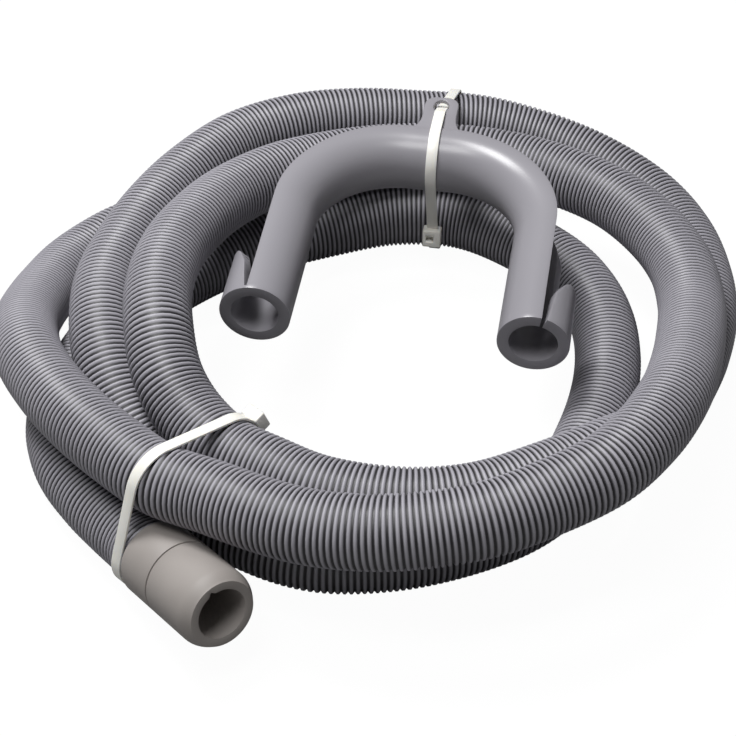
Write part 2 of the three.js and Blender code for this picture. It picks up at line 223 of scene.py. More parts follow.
@dataclass(frozen=True)
class NylonFinish(PlasticFinish):
    """Natural nylon, which lets a little light in under its surface."""

    depth_mm: float = 0.8
    soak: float = 0.25
    soak_colour: tuple[float, float, float] = (1.0, 0.9, 0.75)

    def dress(self, shader: bpy.types.Node) -> None:
        """Lets light soak in a little."""
        shader.inputs["Subsurface Weight"].default_value = self.soak
        shader.inputs["Subsurface Radius"].default_value = self.soak_colour
        shader.inputs["Subsurface Scale"].default_value = self.depth_mm * MM


# Blow-moulded polypropylene tube: satin, with bright lines on the crests and painted shade in the grooves
HOSE_PLASTIC = RibbedFinish("corrugated_polypropylene", Slot.HOSE, "#a8a6ae", "#a19fa7", 0.47, 1.49,
                            0.5, 0.02, cloud_mm=35.0)
# Soft thermoplastic rubber: matte, with a fine even grain
CUFF_RUBBER = PlasticFinish("moulded_soft_rubber", Slot.CUFF, "#9f9995", "#98928e", 0.55, 1.5,
                            0.35, 0.03)
# Injection moulded polypropylene: smooth, with a soft sheen
GUIDE_PLASTIC = PlasticFinish("moulded_polypropylene", Slot.GUIDE, "#97959b", "#949298", 0.29, 1.49,
                              0.8, 0.006, cloud_mm=70.0, gloss_change=0.015)
# Natural nylon 6.6: milky white, fairly smooth
TIE_NYLON = NylonFinish("natural_nylon", Slot.TIE, "#fbf9f2", "#f7f5ed", 0.34, 1.53, 0.6, 0.02)


@dataclass
class Wardrobe:
    """Keeps one material for each finish."""

    made: dict[str, bpy.types.Material] = field(default_factory=dict)

    def get(self, finish: PlasticFinish) -> bpy.types.Material:
        """Gives the finish's material, made on first use."""
        if finish.name not in self.made:
            self.made[finish.name] = finish.material()
        return self.made[finish.name]


WARDROBE = Wardrobe()


def link_mesh(name: str, mesh: bpy.types.Mesh) -> bpy.types.Object:
    """Puts a mesh in the scene as an object at the origin."""
    made = bpy.data.objects.new(name, mesh)
    bpy.context.scene.collection.objects.link(made)
    return made


def shell(name: str, body: bmesh.types.BMesh, pose: Matrix, recalc: bool = True) -> bpy.types.Object:
    """Turns a bmesh in millimetres into an object in metres, with its place in its mesh.

    Args:
        name: the object's name.
        body: the bmesh, which is freed.
        pose: turn and place of the piece, in millimetres.
        recalc: whether faces are turned to point outwards first.

    Returns:
        The object.
    """
    if recalc:
        bmesh.ops.recalc_face_normals(body, faces=body.faces[:])
    bmesh.ops.transform(body, matrix=Matrix.Scale(MM, 4) @ pose, verts=body.verts[:])
    mesh = bpy.data.meshes.new(name)
    body.to_mesh(mesh)
    body.free()
    return link_mesh(name, mesh)


def applied(piece: bpy.types.Object) -> bpy.types.Object:
    """Applies a piece's modifiers to its mesh."""
    graph = bpy.context.evaluated_depsgraph_get()
    done = bpy.data.meshes.new_from_object(piece.evaluated_get(graph))
    done.name = piece.name
    piece.modifiers.clear()
    piece.data = done
    return piece


def joined(piece: bpy.types.Object, other: bpy.types.Object, how: str = "UNION") -> bpy.types.Object:
    """Adds another solid to a piece, or cuts it away, and removes the other object."""
    cut = piece.modifiers.new(how.lower(), "BOOLEAN")
    cut.operation = how
    cut.solver = "EXACT"
    cut.object = other
    applied(piece)
    bpy.data.objects.remove(other)
    return piece


def rounded(piece: bpy.types.Object, width: float, segments: int = 3,
            angle: float = 40.0) -> bpy.types.Object:
    """Rounds a piece's sharp edges by a width in millimetres and applies it."""
    edge = piece.modifiers.new("rounded_edges", "BEVEL")
    edge.width = width * MM
    edge.segments = segments
    edge.limit_method = "ANGLE"
    edge.angle_limit = math.radians(angle)
    edge.harden_normals = False
    return applied(piece)


def dress(piece: bpy.types.Object, finish: PlasticFinish, node: str, smooth: float = 35.0) -> None:
    """Gives a finished piece its material, shading and body, and hides the node that it stands for."""
    piece.data.materials.clear()
    piece.data.materials.append(WARDROBE.get(finish))
    piece.data.shade_smooth()
    piece.data.set_sharp_from_angle(angle=math.radians(smooth))
    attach(piece, BODY)
    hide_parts(node)
    LOG.info("%s: %d faces", piece.name, len(piece.data.polygons))


class HoseRoute:
    """Smooth line through the route's points, the same curve as in the part's source."""

    def __init__(self, points: tuple[tuple[float, float, float], ...], per_span: int = 48) -> None:
        """Samples the curve closely.

        Args:
            points: the route's points, in millimetres.
            per_span: samples between two points.
        """
        p = np.array([place(q) for q in points])
        p = np.vstack([2 * p[0] - p[1], p, 2 * p[-1] - p[-2]])
        t = np.linspace(0, 1, per_span, endpoint=False)[:, None]
        rows = [self.span(p[i - 1], p[i], p[i + 1], p[i + 2], t) for i in range(1, len(p) - 2)]
        self.line = np.vstack([*rows, p[-2][None]])
        steps = np.linalg.norm(np.diff(self.line, axis=0), axis=1)
        self.along = np.concatenate([[0.0], np.cumsum(steps)])
        self.length = float(self.along[-1])

    @staticmethod
    def span(a: np.ndarray, b: np.ndarray, c: np.ndarray, d: np.ndarray, t: np.ndarray) -> np.ndarray:
        """Points between b and c on the centripetal curve through a, b, c and d."""
        k0, k1, k2 = (math.sqrt(float(np.linalg.norm(v - u))) for u, v in ((a, b), (b, c), (c, d)))
        start = ((b - a) / k0 - (c - a) / (k0 + k1) + (c - b) / k1) * k1
        end = ((c - b) / k1 - (d - b) / (k1 + k2) + (d - c) / k2) * k1
        cubic = 2 * b - 2 * c + start + end
        square = -3 * b + 3 * c - 2 * start - end
        return b + start * t + square * t ** 2 + cubic * t ** 3

    def at(self, s: np.ndarray) -> np.ndarray:
        """Places on the line at these distances from its start."""
        return np.stack([np.interp(s, self.along, self.line[:, k]) for k in range(3)], axis=1)

    def ways(self, s: np.ndarray, near: float = 1.5) -> np.ndarray:
        """Unit directions of the line at these distances from its start, taken over a short stretch."""
        ahead = self.at(np.clip(s + near, 0, self.length))
        behind = self.at(np.clip(s - near, 0, self.length))
        way = ahead - behind
        return way / np.linalg.norm(way, axis=1)[:, None]

    def crossings(self, foot: Vector, across: Vector, reach: float) -> list[tuple[float, float]]:
        """Places where the line crosses an upright plane.

        Args:
            foot: a point of the plane.
            across: the plane's level direction.
            reach: how far from the point a crossing may be.

        Returns:
            Each crossing's distance along the plane and its height.
        """
        level = np.array((across.x, across.y, 0.0))
        normal = np.array((across.y, -across.x, 0.0))
        off = (self.line - np.array(foot)) @ normal
        found = []
        for i in np.nonzero(off[:-1] * off[1:] < 0)[0]:
            share = off[i] / (off[i] - off[i + 1])
            p = self.line[i] + (self.line[i + 1] - self.line[i]) * share
            if abs((p - np.array(foot)) @ level) < reach:
                found.append((float((p - np.array(foot)) @ level), float(p[2])))
        return found


@dataclass
class CoiledHose:
    """The corrugated hose: a thin tube with narrow ribs, hollow at its two ends.

    Each rib's flat crest runs between two shares of the pitch, and hollow_shade is how much painted shade the
    bore gets, as a share of a groove's depth.
    """

    route: HoseRoute
    diameter: float = HOSE_OD
    rib_pitch: float = 2.2
    rib_depth: float = 1.0
    crest: tuple[float, float] = (0.36, 0.64)
    sides: int = 28
    bore: float = 19.2
    hollow: float = 60.0
    hollow_step: float = 3.0
    hollow_shade: float = 0.6
    path_step: float = 4.0

    def rings(self) -> tuple[np.ndarray, np.ndarray, np.ndarray]:
        """Lists the rings of the wall from the bottom of one hollow, over the outside, to the other.

        Returns:
            Each ring's distance along the route, its radius, and its share of a groove's depth.
        """
        outer, root, inner = self.diameter / 2, self.diameter / 2 - self.rib_depth, self.bore / 2
        count = round(self.route.length / self.rib_pitch)
        pitch = self.route.length / count
        first = np.arange(self.hollow, 0, -self.hollow_step)
        # The bores of the hollow ends get painted shade, set by hollow_shade
        start = [(s, inner, self.hollow_shade) for s in (*first, 0.0)]
        ribs = [(pitch * (i + part), radius, deep) for i in range(count)
                for part, radius, deep in ((0.0, root, 1.0), (self.crest[0], outer, 0.0),
                                           (self.crest[1], outer, 0.0))]
        end = [(self.route.length - s, radius, deep) for s, radius, deep in reversed(start)]
        rows = np.array(start + ribs + [(self.route.length, root, 1.0)] + end)
        return rows[:, 0], rows[:, 1], rows[:, 2]

    def sideways(self, ways: np.ndarray) -> np.ndarray:
        """Carries one side direction along the line without twist."""
        side = np.cross(ways[0], (0.0, 0.0, 1.0))
        out = np.empty_like(ways)
        for i, way in enumerate(ways):
            side = side - way * (side @ way)
            side = side / np.linalg.norm(side)
            out[i] = side
        return out

    def build(self) -> bpy.types.Object:
        """Builds the hose as one closed mesh."""
        s, radius, deep = self.rings()
        middle, ways = self.route.at(s), self.route.ways(s)
        side = self.sideways(ways)
        top = np.cross(ways, side)
        turn = np.arange(self.sides) / self.sides * 2 * math.pi
        round_off = side[:, None] * np.cos(turn)[:, None] + top[:, None] * np.sin(turn)[:, None]
        points = middle[:, None] + round_off * radius[:, None, None]
        points = np.vstack([points.reshape(-1, 3), middle[0], middle[-1]]) * MM
        ring, k = np.arange(len(s) - 1)[:, None] * self.sides, np.arange(self.sides)
        after = (k + 1) % self.sides
        quads = np.stack([ring + k, ring + after, ring + after + self.sides, ring + k + self.sides], axis=2)
        last = (len(s) - 1) * self.sides
        mesh = bpy.data.meshes.new("corrugated_drain_hose")
        faces = quads.reshape(-1, 4).tolist()
        faces += [(int(b), int(a), len(points) - 2) for a, b in zip(k, after)]
        faces += [(last + int(a), last + int(b), len(points) - 1) for a, b in zip(k, after)]
        mesh.from_pydata(points.tolist(), [], faces)
        # Share of a groove's depth at each point, which sets the painted shade in the grooves and the bores
        groove = mesh.attributes.new("groove_depth", "FLOAT", "POINT")
        groove.data.foreach_set("value", np.concatenate([np.repeat(deep, self.sides), [1.0, 1.0]]))
        hose = link_mesh("corrugated_drain_hose", mesh)
        dress(hose, HOSE_PLASTIC, "corrugated_hose", smooth=180.0)
        return hose

    def declare(self) -> None:
        """Samples points along the hose's line every path_step from its far end, and does nothing more with
        them.
        """
        path = self.route.at(np.arange(self.route.length, 0, -self.path_step)) * MM


@dataclass
class EndCuff:
    """Soft cuff pushed over a hose end, with a ring groove and a rounded mouth.

    The hose ends at tip and comes from before. The cuff's edges are lists of how far each point lies
    in from the face beside it and from the end face. The nick's middle is at nick_turn degrees, and it
    fades out over nick_half. It reaches across and along by nick_reach, and is pressed outwards and
    down by nick_press.
    """

    BORE_EDGE = ((0.0, 0.4), (0.12, 0.12), (0.4, 0.0))
    RIM_EDGE = ((0.3, 0.0), (0.08, 0.08))
    BACK_EDGE = ((0.0, 0.7), (0.2, 0.2), (0.6, 0.0))

    name: str
    node: str
    before: Vector
    tip: Vector
    hose: float = HOSE_OD
    bore: float = 19.0
    length: float = 45.6
    lip: float = 1.0
    socket: float = 6.0
    gap: float = 0.4
    groove_at: float = 18.0
    groove: float = 0.8
    groove_ease: tuple[float, float] = (0.12, 0.25)
    groove_floor: float = 0.7
    mouth: float = 25.6
    taper: float = 6.0
    taper_start: float = 20.0
    taper_steps: int = 8
    nick_turn: float = 140.0
    nick_half: float = 1.3
    nick_reach: tuple[float, float] = (0.8, 1.0)
    nick_press: tuple[float, float] = (1.1, 0.5)
    segments: int = 96

    def profile(self) -> list[tuple[float, float]]:
        """Outline of the cuff's wall, as radius and distance from its back edge."""
        inside, bore = self.hose / 2 + self.gap, self.bore / 2
        outer, rim = inside + self.lip, self.mouth / 2
        points = [(bore, self.socket)]
        points += [(bore + deep, self.length - back) for deep, back in self.BORE_EDGE]
        points += [(rim - deep, self.length - back) for deep, back in self.RIM_EDGE]
        points += self.shoulder(rim, outer) + self.ring_groove(outer)
        points += [(outer - deep, back) for deep, back in self.BACK_EDGE]
        return [*points, (inside, 0.0), (inside, self.socket)]

    def shoulder(self, rim: float, outer: float) -> list[tuple[float, float]]:
        """Rounded shoulder from the mouth's rim out to the full width, the last part of a quarter turn."""
        low, crisp = math.sin(math.radians(self.taper_start)), self.RIM_EDGE[0][0]
        points = []
        for i in range(self.taper_steps + 1):
            a = math.radians(self.taper_start + i * (90 - self.taper_start) / self.taper_steps)
            share = (math.sin(a) - low) / (1 - low)
            down = (self.taper - crisp) * i / self.taper_steps
            points.append((rim + (outer - rim) * share, self.length - crisp - down))
        return points

    def ring_groove(self, outer: float) -> list[tuple[float, float]]:
        """Ring groove with eased edges, and sides that slope to a narrower floor."""
        half, (deep, wide) = self.groove / 2, self.groove_ease
        side = [(outer, half + wide), (outer - deep, half), (outer - self.groove, half * self.groove_floor)]
        return ([(r, self.groove_at + off) for r, off in side]
                + [(r, self.groove_at - off) for r, off in reversed(side)])

    def pose(self) -> Matrix:
        """Turn and place of the cuff on the hose's end."""
        way = (self.tip - self.before).normalized()
        back = self.tip + way * (self.gap - self.socket)
        return Matrix.Translation(back) @ Vector((0, 0, 1)).rotation_difference(way).to_matrix().to_4x4()

    def build(self) -> bpy.types.Object:
        """Spins the wall's outline round the cuff's axis."""
        body = bmesh.new()
        verts = [body.verts.new((r, 0, z)) for r, z in self.profile()]
        edges = [body.edges.new((a, b)) for a, b in zip(verts, verts[1:] + verts[:1])]
        bmesh.ops.spin(body, geom=verts + edges, cent=(0, 0, 0), axis=(0, 0, 1), angle=2 * math.pi,
                       steps=self.segments, use_merge=True)
        bmesh.ops.remove_doubles(body, verts=body.verts[:], dist=SPUN_MERGE)
        self.nick(body)
        cuff = shell(self.name, body, self.pose())
        dress(cuff, CUFF_RUBBER, self.node, smooth=40.0)
        return cuff

    def nick(self, body: bmesh.types.BMesh) -> None:
        """Presses a small nick into the bore's edge at the mouth, outwards and down."""
        (wide, deep), (out, down) = self.nick_reach, self.nick_press
        for v in body.verts:
            radius = math.hypot(v.co.x, v.co.y)
            turn = math.degrees(math.atan2(v.co.y, v.co.x)) - self.nick_turn
            off = abs((turn + 180) % 360 - 180) * math.pi / 180 * radius
            near = max(0.0, 1 - off / self.nick_half)
            if near > 0 and radius < self.bore / 2 + wide and v.co.z > self.length - deep:
                grow = 1 + near * out / radius
                v.co.x *= grow
                v.co.y *= grow
                v.co.z -= near * down


@dataclass
class HoseGuide:
    """U-bend guide: an open channel that the hose clips into, with a ring at each end and a tab.

    Places on the wall are given as the distance along the middle line from a ring's face, and the
    degrees round that line, from the outer side over the top. FINGER is the free edge of a leg's
    finger, from the lower V cut round the finger's tip and along the upper V cut.

    The lower lip reaches leg_lip degrees further round on the legs, and eases off between the two
    distances of leg_ease. The left ring is closed by a strip of closure's depth and degrees, and the
    right ring is split there by split degrees.
    """

    FINGER = ((24.3, 305), (24.8, 320), (25.3, 340), (26, 356), (26.8, 371), (27, 385), (26.3, 396),
              (24, 406), (17, 421))

    hose: float = HOSE_OD
    extra: float = 1.5
    wall: float = 4.6
    span: float = 110.0
    reach: float = 105.0
    corner: float = 47.0
    turn: float = -9.4
    tilt: float = 5.0
    crown: tuple[float, float, float] = (26.7, 94.0, 57.5)
    lip_angle: float = 79.0
    leg_lip: float = 15.0
    leg_ease: tuple[float, float] = (58.0, 76.0)
    closure: tuple[float, float] = (1.5, 4.0)
    split: float = 9.0
    sole: float = 24.0
    leg_step: float = 2.5
    bend_steps: int = 37
    crown_step: float = 2.0
    turn_cuts: tuple[float, float, float] = (84.0, 427.0, 5.0)
    edge: float = 0.5
    tab_at: float = 2.0
    tab_width: float = 14.5
    tab_out: float = 23.0
    tab_corner: float = 5.0
    tab_thick: float = 2.0
    tab_lift: float = 11.2
    tab_sink: float = 1.2
    tab_steps: int = 8
    flare: tuple[float, float] = (4.5, 11.0)
    hole: tuple[float, float] = (6.5, 9.0)
    hole_at: float = 16.5

    @property
    def radius(self) -> float:
        """Outer radius of the channel."""
        return (self.hose + self.extra) / 2

    @property
    def lip(self) -> float:
        """How far outside the crown's middle line the tab's root starts."""
        return self.radius * math.cos(math.radians(self.lip_angle)) - self.tab_sink

    @property
    def straight(self) -> float:
        """Length of a leg's straight part."""
        return self.reach - self.corner

    @property
    def bend(self) -> float:
        """Length of one corner's bend."""
        return self.corner * math.pi / 2

    @property
    def half(self) -> float:
        """Length of the middle line from a ring's face to the middle of the crown."""
        return self.straight + self.bend + self.span / 2 - self.corner

    def pose(self) -> Matrix:
        """Turn and place of the guide on top of the coil."""
        turn = Matrix.Rotation(math.radians(self.turn), 4, "Z")
        return Matrix.Translation(place(self.crown)) @ turn @ Matrix.Rotation(math.radians(self.tilt), 4, "X")

    def pattern(self, closed: bool) -> bmesh.types.BMesh:
        """Lays half of the wall out flat: x along the middle line, y the angle round it in degrees.

        The channel runs from its upper lip down the bend's inner side and below to its lower lip, and
        the finger reaches from there up the outer side to the upper V cut.

        Args:
            closed: whether the ring is closed where the upper V cut meets its face, or split there.

        Returns:
            The flat pattern.
        """
        body = bmesh.new()
        lip, low = self.lip_angle, 360 - self.lip_angle
        leg_low, full = low + self.leg_lip, 360 + lip
        (deep, turn), (near, far) = self.closure, self.leg_ease
        channel = [(0, lip), (deep, lip), (self.half, lip), (self.half, low), (far, low), (near, leg_low),
                   (self.sole, leg_low), (0, leg_low)]
        finger = [(0, leg_low), (self.sole, leg_low), *self.FINGER]
        outlines = [channel, finger]
        if closed:
            finger += [(deep, full - turn), (0, full - turn)]
            outlines.append([(0, full - turn), (deep, full - turn), (deep, full), (0, full)])
        else:
            finger.append((0, full - self.split))
        known: dict[tuple[float, float], bmesh.types.BMVert] = {}
        for outline in outlines:
            for x, y in outline:
                if (x, y) not in known:
                    known[(x, y)] = body.verts.new((x, y, 0))
            body.faces.new([known[c] for c in outline])
        bend_end = self.straight + self.bend
        leg = np.arange(self.leg_step, self.straight, self.leg_step)
        corner = np.linspace(self.straight, bend_end, self.bend_steps)
        crown = np.arange(bend_end + self.crown_step, self.half, self.crown_step)
        for x in (*leg, *corner, *crown):
            self.score(body, (float(x), 0, 0), (1, 0, 0))
        for angle in np.arange(*self.turn_cuts):
            self.score(body, (0, float(angle), 0), (0, 1, 0))
        return body

    @staticmethod
    def score(body: bmesh.types.BMesh, at: tuple[float, float, float],
              normal: tuple[float, float, float]) -> None:
        """Cuts the flat faces along one line."""
        bmesh.ops.bisect_plane(body, geom=body.verts[:] + body.edges[:] + body.faces[:], dist=WALL_MERGE,
                               plane_co=at, plane_no=normal)

    def wrap(self, along: float, angle: float) -> Vector:
        """Place on the left half's outer surface.

        Args:
            along: distance along the middle line from the ring's face.
            angle: degrees round the middle line, from the outer side over the top.

        Returns:
            The place, with the crown along X and the legs towards -Y.
        """
        beyond = along - self.straight
        arc = min(max(beyond, 0), self.bend) / self.corner
        outward = Vector((-math.cos(arc), math.sin(arc), 0))
        middle = Vector((self.corner - self.span / 2, -self.corner, 0)) + outward * self.corner
        middle += Vector((max(beyond - self.bend, 0), min(beyond, 0), 0))
        a = math.radians(angle)
        return middle + outward * (self.radius * math.cos(a)) + Vector((0, 0, self.radius * math.sin(a)))

    def channel(self) -> bpy.types.Object:
        """Wraps both halves of the flat pattern round the middle line and gives them their wall."""
        body = bmesh.new()
        for side in (1, -1):
            half = self.pattern(closed=side > 0)
            for v in half.verts:
                spot = self.wrap(v.co.x, v.co.y)
                v.co = (spot.x * side, spot.y, spot.z)
            mesh = bpy.data.meshes.new("half")
            half.to_mesh(mesh)
            half.free()
            body.from_mesh(mesh)
            bpy.data.meshes.remove(mesh)
        bmesh.ops.remove_doubles(body, verts=body.verts[:], dist=WALL_MERGE)
        bmesh.ops.recalc_face_normals(body, faces=body.faces[:])
        body.faces.ensure_lookup_table()
        lowest = min(body.faces, key=lambda f: f.calc_center_median().z)
        if lowest.normal.z > 0:
            bmesh.ops.reverse_faces(body, faces=body.faces[:])
        made = shell("u_bend_hose_guide", body, self.pose(), recalc=False)
        wall = made.modifiers.new("wall", "SOLIDIFY")
        wall.thickness = self.wall * MM
        wall.offset = -1
        wall.use_even_offset = True
        return rounded(applied(made), self.edge, segments=2)

    def tab(self) -> bpy.types.Object:
        """Makes the flat tab with its flared root and its hole for the tie."""
        body = bmesh.new()
        w, out, corner = self.tab_width / 2, self.tab_out, self.tab_corner
        wide, tall = self.flare
        right = [(w + wide * (1 - t) ** 2, tall * (t * (1 - t) / 2 + t ** 2))
                 for t in np.linspace(0, 1, self.tab_steps)]
        right += [(w - corner + corner * math.cos(a), out - corner + corner * math.sin(a))
                  for a in np.linspace(0, math.pi / 2, self.tab_steps)]
        outline = right + [(-x, y) for x, y in reversed(right)]
        verts = [body.verts.new((x, y, 0)) for x, y in outline]
        edges = [body.edges.new((a, b)) for a, b in zip(verts, verts[1:] + verts[:1])]
        circle = bmesh.ops.create_circle(body, cap_ends=False, segments=32, radius=1.0)["verts"]
        bmesh.ops.scale(body, vec=(self.hole[0] / 2, self.hole[1] / 2, 1), verts=circle)
        bmesh.ops.translate(body, vec=(0, self.hole_at, 0), verts=circle)
        edges += list({e for v in circle for e in v.link_edges})
        bmesh.ops.triangle_fill(body, use_beauty=True, edges=edges)
        top = bmesh.ops.extrude_face_region(body, geom=body.faces[:])["geom"]
        lifted = [v for v in top if isinstance(v, bmesh.types.BMVert)]
        bmesh.ops.translate(body, vec=(0, 0, self.tab_thick), verts=lifted)
        bmesh.ops.translate(body, vec=(self.tab_at, self.lip, self.tab_lift), verts=body.verts[:])
        return rounded(shell("tab", body, self.pose()), self.edge, segments=3)

    def build(self) -> bpy.types.Object:
        """Joins the channel and the tab."""
        guide = joined(self.channel(), self.tab())
        dress(guide, GUIDE_PLASTIC, "hose_guide", smooth=30.0)
        return guide


@dataclass
class CableTie:
    """Nylon cable tie pulled round a bundle in an upright plane.

    The plane passes through foot, and angle is the bundle's direction there, in degrees. The strap goes
    round circles in the plane, each given as across, up and radius, and lies off them by gap. The head
    sinks a little into the strap and is turned by lean more than the strap is. Its window is given as
    width and height, and the pawl in it by shares of the head's depth and the window's height and width.
    The pawl sits low in the window by pawl_down, a share of the window's height.
    """

    name: str
    node: str
    foot: Vector
    angle: float
    gap: float
    lean: float
    circles: list[tuple[float, float, float]] = field(default_factory=list)
    head_at: tuple[float, float] = (0.0, 0.0)
    head_turn: float = 0.0
    width: float = 4.6
    thick: float = 1.0
    strap_edge: float = 0.22
    sink: float = 0.7
    head: tuple[float, float, float] = (5.0, 8.5, 8.0)
    head_edge: float = 0.7
    window: tuple[float, float] = (3.2, 3.2)
    window_off: float = -0.9
    pawl_share: tuple[float, float, float] = (0.7, 0.5, 0.9)
    pawl_bed: float = 0.6
    pawl_slope: float = 1.1
    pawl_out: float = 0.4
    pawl_down: float = 0.3
    loop_steps: int = 48

    def across(self) -> Vector:
        """Level direction of the tie's plane."""
        a = math.radians(self.angle)
        return Vector((-math.sin(a), math.cos(a), 0))

    def pose(self) -> Matrix:
        """Turn and place of the plane: x across, y up, z along the bundle."""
        a = math.radians(self.angle)
        along = Vector((math.cos(a), math.sin(a), 0))
        turn = Matrix((self.across(), Vector((0, 0, 1)), along)).transposed().to_4x4()
        return Matrix.Translation(Vector((self.foot.x, self.foot.y, 0))) @ turn

    def seat(self, circle: tuple[float, float, float], turn: float, slide: float) -> None:
        """Sets the head on the strap where it passes one circle.

        Args:
            circle: the circle, as across, up and radius.
            turn: the direction from the circle's middle, in degrees from the level.
            slide: how far the head is moved along the strap from there.
        """
        out = circle[2] + self.gap + self.thick + self.head[0] / 2 - self.sink
        c, s = math.cos(math.radians(turn)), math.sin(math.radians(turn))
        self.head_at = (circle[0] + out * c - slide * s, circle[1] + out * s + slide * c)
        self.head_turn = turn

    def loop(self) -> list[Vector]:
        """Outline round all the circles, at the strap's outer face."""
        points = []
        for x, y, radius in self.circles:
            reach = radius + self.gap + self.thick
            points += [Vector((x + reach * math.cos(a), y + reach * math.sin(a)))
                       for a in np.linspace(0, 2 * math.pi, self.loop_steps, endpoint=False)]
        return [points[i] for i in convex_hull_2d(points)]

    def strap(self) -> bpy.types.Object:
        """Makes the flat band."""
        body = bmesh.new()
        face = body.faces.new([body.verts.new((p.x, p.y, -self.width / 2)) for p in self.loop()])
        body.normal_update()
        bmesh.ops.inset_region(body, faces=[face], thickness=self.thick, use_boundary=True,
                               use_even_offset=True)
        bmesh.ops.delete(body, geom=[max(body.faces, key=lambda f: len(f.verts))], context="FACES_ONLY")
        top = bmesh.ops.extrude_face_region(body, geom=body.faces[:])["geom"]
        lifted = [v for v in top if isinstance(v, bmesh.types.BMVert)]
        bmesh.ops.translate(body, vec=(0, 0, self.width), verts=lifted)
        return rounded(shell(self.name, body, self.pose()), self.strap_edge, segments=2)

    def block(self) -> bpy.types.Object:
        """Makes the head, a rounded block with a window through it."""
        body = bmesh.new()
        bmesh.ops.create_cube(body, size=1.0)
        bmesh.ops.scale(body, vec=self.head, verts=body.verts[:])
        ends = [f for f in body.faces if abs(f.normal.x) > 0.9]
        bmesh.ops.inset_individual(body, faces=ends, thickness=1.5)
        # The inset corners move to the window's own corners
        for f in ends:
            for v in f.verts:
                v.co.y = math.copysign(self.window[1] / 2, v.co.y)
                v.co.z = math.copysign(self.window[0] / 2, v.co.z) + self.window_off
        rims = list({e for f in ends for e in f.edges})
        bmesh.ops.delete(body, geom=ends, context="FACES_ONLY")
        bmesh.ops.bridge_loops(body, edges=rims)
        block = rounded(shell("head", body, self.head_pose()), self.head_edge, segments=3, angle=50)
        return joined(block, self.pawl())

    def head_pose(self) -> Matrix:
        """Turn and place of the head: x outwards, y along the strap, z along the bundle."""
        turn = Matrix.Rotation(math.radians(self.head_turn + self.lean), 4, "Z")
        return self.pose() @ Matrix.Translation(Vector((*self.head_at, 0))) @ turn

    def pawl(self) -> bpy.types.Object:
        """Makes the tongue and the cut tail end that fill the window's lower part."""
        body = bmesh.new()
        bmesh.ops.create_cube(body, size=1.0)
        deep, tall, wide = self.pawl_share
        size = (self.head[0] * deep, self.window[1] * tall, self.window[0] * wide + self.pawl_bed)
        bmesh.ops.scale(body, vec=size, verts=body.verts[:])
        for v in body.verts:
            if v.co.x > 0 and v.co.y > 0:
                v.co.x -= self.pawl_slope
        spot = (self.pawl_out, -self.window[1] * self.pawl_down, self.window_off)
        bmesh.ops.translate(body, vec=spot, verts=body.verts[:])
        return shell("pawl", body, self.head_pose())

    def build(self) -> bpy.types.Object:
        """Joins the strap and the head."""
        tie = joined(self.strap(), self.block())
        dress(tie, TIE_NYLON, self.node, smooth=35.0)
        return tie


